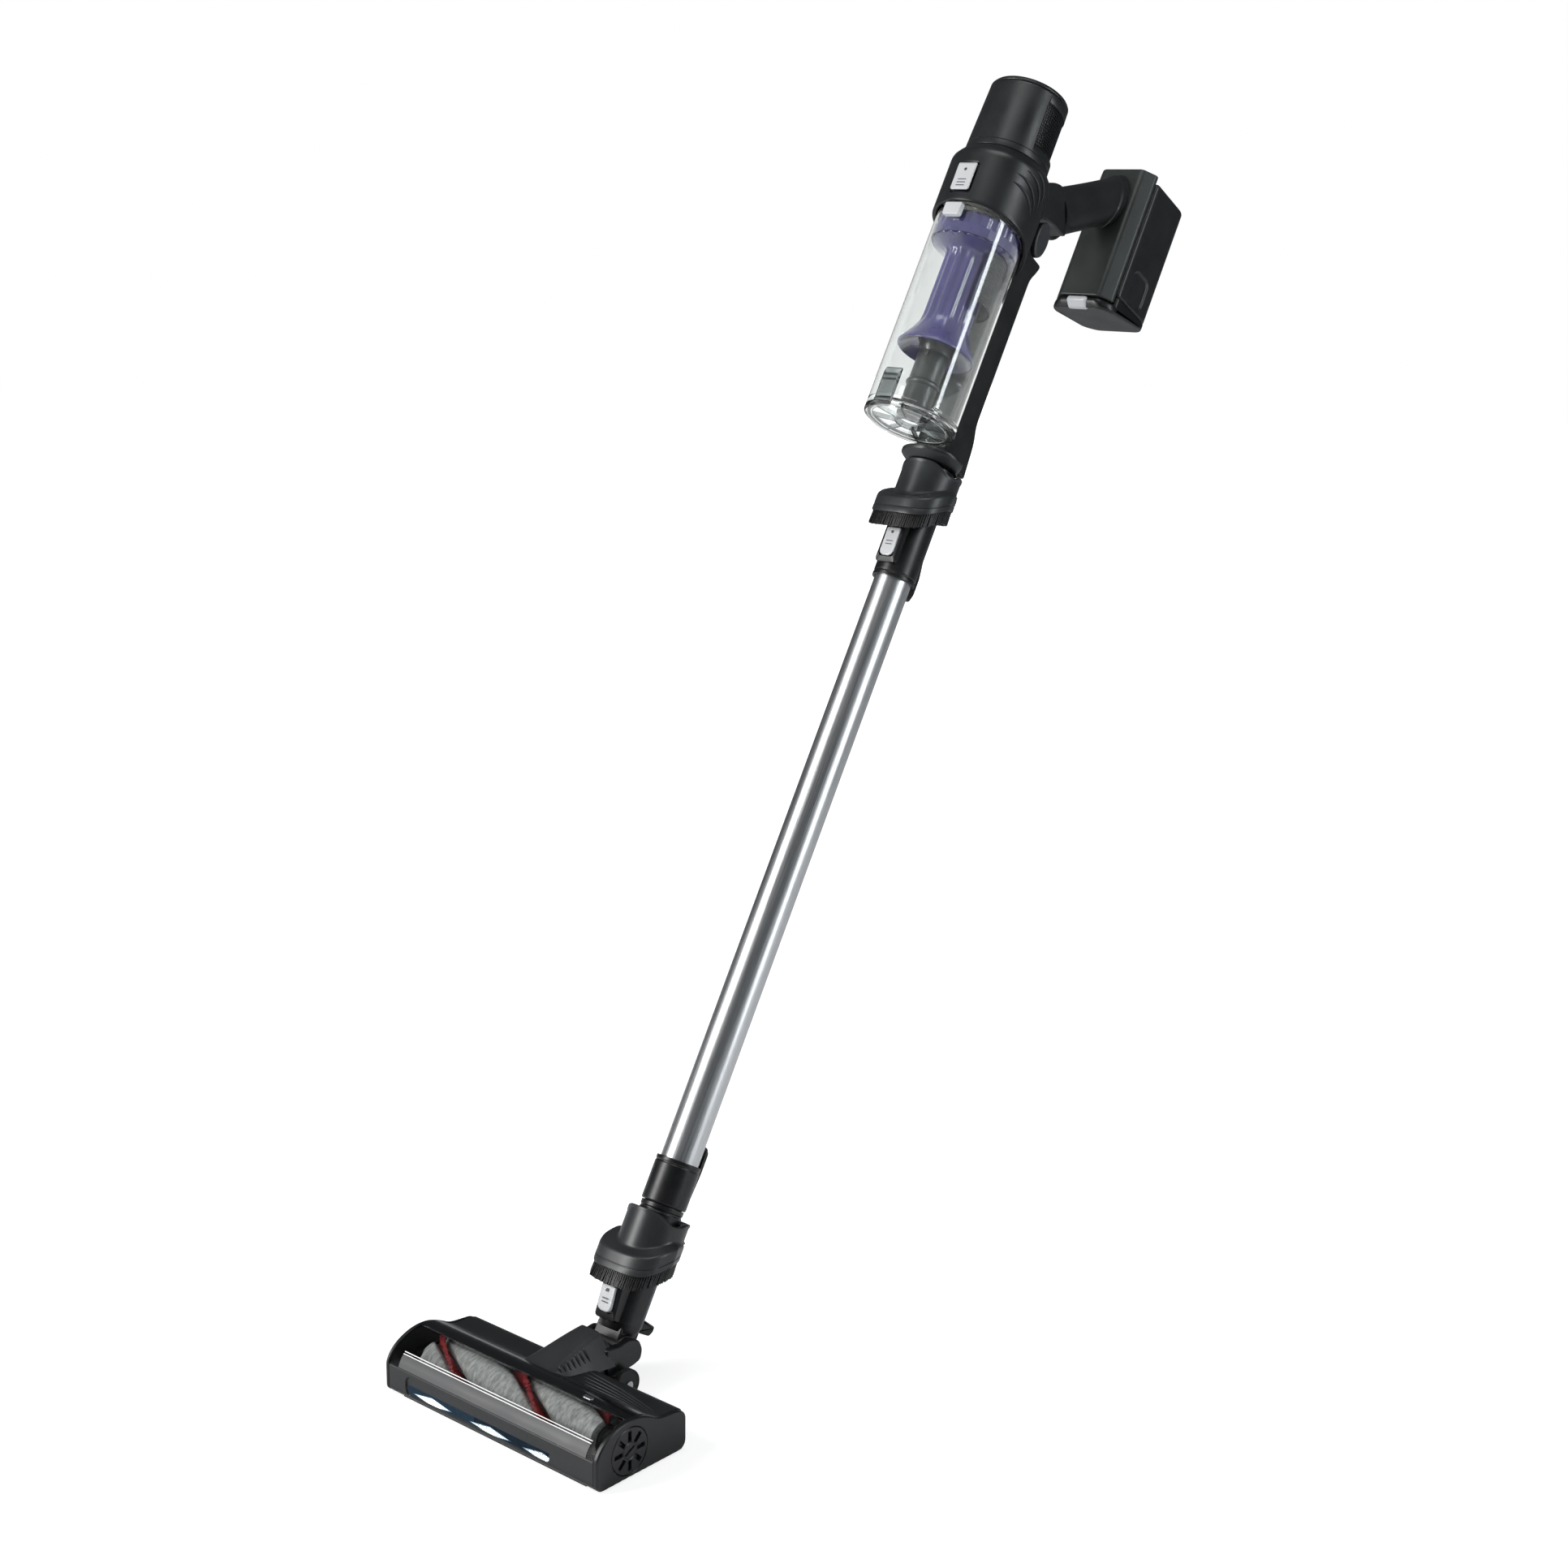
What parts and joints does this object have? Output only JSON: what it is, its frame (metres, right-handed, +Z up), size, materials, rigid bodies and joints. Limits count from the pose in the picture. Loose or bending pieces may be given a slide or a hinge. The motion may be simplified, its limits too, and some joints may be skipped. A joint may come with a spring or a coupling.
{
  "type": "cordless stick vacuum",
  "caption": "Upright battery stick vacuum: swivelling floor head with spinning brush, metal wand, slide-down dusting brushes, cyclone dust bin and pistol-grip handset.",
  "frame": {"origin": "middle of the hand grip, where the hand holds the vacuum", "axes": "+Z up, +X across the floor head to the right seen from behind the camera side, +Y from the floor head back towards the user; the wand leans 30.35 degrees back"},
  "size_m": [0.25, 0.9073, 1.0828],
  "materials": {
    "charcoal_plastic": "satin moulded",
    "black_plastic": "satin moulded",
    "white_button": "glossy",
    "indigo_cyclone": "glossy translucent",
    "clear_bin": "clear, faint green-grey tint",
    "smoke_window": "smoked clear",
    "grey_stem": "satin",
    "wand_aluminium": "brushed and anodised",
    "motor_alloy": "cast and machined",
    "pin_steel": "ground",
    "mesh_steel": "perforated sheet",
    "rubber_black": "matte",
    "bristle_black": "nylon filament",
    "bristle_red": "nylon filament",
    "bristle_grey": "soft nylon pile",
    "lamp_lens": "lit lens",
    "circuit_green": "lacquered board",
    "cell_wrap": "shrink-wrapped cells",
    "filter_white": "pleated fleece",
    "trigger_grey": "satin moulded"
  },
  "bodies": {
    "handset": {"neck_tube": "charcoal_plastic", "lower_connector": "charcoal_plastic", "wand_tube": "wand_aluminium", "upper_connector": "charcoal_plastic", "body_ring": "charcoal_plastic", "spine_duct": "charcoal_plastic", "handle_grip": "charcoal_plastic", "battery_dock": "charcoal_plastic", "control_board": "circuit_green", "motor_housing": "charcoal_plastic", "vent_grille_left": "black_plastic", "vent_grille_right": "black_plastic", "motor_cap": "charcoal_plastic", "motor_can": "motor_alloy", "pre_motor_filter": "filter_white", "exhaust_filter": "filter_white"},
    "impeller": {"impeller": "motor_alloy"},
    "trigger": {"trigger": "trigger_grey"},
    "bin_button": {"bin_release_button": "white_button"},
    "bin": {"bin_cup": "clear_bin", "bin_catch": "white_button", "cyclone_shroud": "indigo_cyclone", "cyclone_stem": "grey_stem", "mesh_screen": "mesh_steel", "shroud_seal": "rubber_black"},
    "lid": {"bin_lid": "clear_bin", "lid_seal": "rubber_black"},
    "lid_catch": {"lid_catch": "clear_bin"},
    "battery": {"battery_case": "charcoal_plastic", "battery_foot": "black_plastic", "battery_cells": "cell_wrap"},
    "battery_latch": {"battery_latch": "white_button"},
    "upper_brush": {"upper_collar": "charcoal_plastic", "upper_bristles": "bristle_black"},
    "lower_brush": {"lower_collar": "charcoal_plastic", "lower_bristles": "bristle_black"},
    "wand_button": {"wand_release_button": "white_button"},
    "head_button": {"head_release_button": "white_button"},
    "yoke": {"swivel_yoke": "black_plastic", "pivot_pin": "pin_steel"},
    "floor_head": {"head_base": "charcoal_plastic", "head_top_cover": "charcoal_plastic", "brush_window": "smoke_window", "end_cap_left": "charcoal_plastic", "end_cap_right": "charcoal_plastic", "led_lens": "lamp_lens", "led_board": "circuit_green", "sole_strip": "rubber_black", "drive_motor": "motor_alloy", "drive_belt": "rubber_black", "wheel_pin_left": "pin_steel", "wheel_pin_right": "pin_steel", "neck_hood": "charcoal_plastic"},
    "brush_roll": {"brush_core": "grey_stem", "bristle_row_red": "bristle_red", "bristle_row_grey": "bristle_grey"},
    "drive_pulley": {"motor_pulley": "motor_alloy"},
    "lock_dial": {"brush_lock_dial": "black_plastic"},
    "wheel_left": {"rear_wheel_left": "rubber_black"},
    "wheel_right": {"rear_wheel_right": "rubber_black"}
  },
  "joints": [
    {"name": "impeller_spin", "type": "hinge", "parent": "handset", "child": "impeller", "pos_m": [0, -0.1111, 0.04387], "axis": [0, 0.5053, 0.863], "continuous": true},
    {"name": "trigger_pull", "type": "slide", "parent": "handset", "child": "trigger", "axis": [0, -0.863, 0.5053], "range_m": [0, 0.004], "stiffness_N_per_m": 1200, "springref_m": -0.002},
    {"name": "bin_button_press", "type": "slide", "parent": "handset", "child": "bin_button", "axis": [0, -0.5053, -0.863], "range_m": [0, 0.003], "stiffness_N_per_m": 1000, "springref_m": -0.002},
    {"name": "bin_tilt", "type": "hinge", "parent": "handset", "child": "bin", "pos_m": [0, -0.232, -0.20517], "axis": [1, 0, 0], "range_deg": [0, 25]},
    {"name": "lid_open", "type": "hinge", "parent": "bin", "child": "lid", "pos_m": [0, -0.21189, -0.20941], "axis": [1, 0, 0], "range_deg": [0, 16]},
    {"name": "lid_catch_press", "type": "slide", "parent": "bin", "child": "lid_catch", "axis": [0, 0.5053, 0.863], "range_m": [0, 0.003], "stiffness_N_per_m": 600, "springref_m": -0.002},
    {"name": "battery_slide", "type": "slide", "parent": "handset", "child": "battery", "axis": [0, -0.5053, -0.863], "range_m": [0, 0.075]},
    {"name": "battery_latch_press", "type": "slide", "parent": "battery", "child": "battery_latch", "axis": [0, 0.863, -0.5053], "range_m": [0, 0.002], "stiffness_N_per_m": 1200, "springref_m": -0.002},
    {"name": "upper_brush_slide", "type": "slide", "parent": "handset", "child": "upper_brush", "axis": [0, -0.5053, -0.863], "range_m": [0, 0.012]},
    {"name": "lower_brush_slide", "type": "slide", "parent": "handset", "child": "lower_brush", "axis": [0, -0.5053, -0.863], "range_m": [0, 0.012]},
    {"name": "wand_button_press", "type": "slide", "parent": "handset", "child": "wand_button", "axis": [0, 0.863, -0.5053], "range_m": [0, 0.002], "stiffness_N_per_m": 1000, "springref_m": -0.002},
    {"name": "head_button_press", "type": "slide", "parent": "handset", "child": "head_button", "axis": [0, 0.863, -0.5053], "range_m": [0, 0.0025], "stiffness_N_per_m": 1000, "springref_m": -0.002},
    {"name": "neck_pitch", "type": "hinge", "parent": "handset", "child": "yoke", "pos_m": [0, -0.6219, -0.93637], "axis": [1, 0, 0], "range_deg": [-25, 45]},
    {"name": "head_swivel", "type": "hinge", "parent": "yoke", "child": "floor_head", "pos_m": [0, -0.6219, -0.93637], "axis": [0, 0.9816, 0.1908], "range_deg": [-40, 40]},
    {"name": "brush_spin", "type": "hinge", "parent": "floor_head", "child": "brush_roll", "pos_m": [0, -0.7264, -0.94417], "axis": [1, 0, 0], "continuous": true},
    {"name": "pulley_spin", "type": "hinge", "parent": "floor_head", "child": "drive_pulley", "pos_m": [0.106, -0.6814, -0.94917], "axis": [1, 0, 0], "continuous": true},
    {"name": "dial_turn", "type": "hinge", "parent": "floor_head", "child": "lock_dial", "pos_m": [0.123, -0.7264, -0.94417], "axis": [1, 0, 0], "range_deg": [0, 45]},
    {"name": "wheel_left_spin", "type": "hinge", "parent": "floor_head", "child": "wheel_left", "pos_m": [-0.0315, -0.6364, -0.95477], "axis": [1, 0, 0], "continuous": true},
    {"name": "wheel_right_spin", "type": "hinge", "parent": "floor_head", "child": "wheel_right", "pos_m": [0.0315, -0.6364, -0.95477], "axis": [1, 0, 0], "continuous": true}
  ],
  "couplings": [
    {"joint": "pulley_spin", "follows": "brush_spin", "ratio": 1.6667}
  ]
}
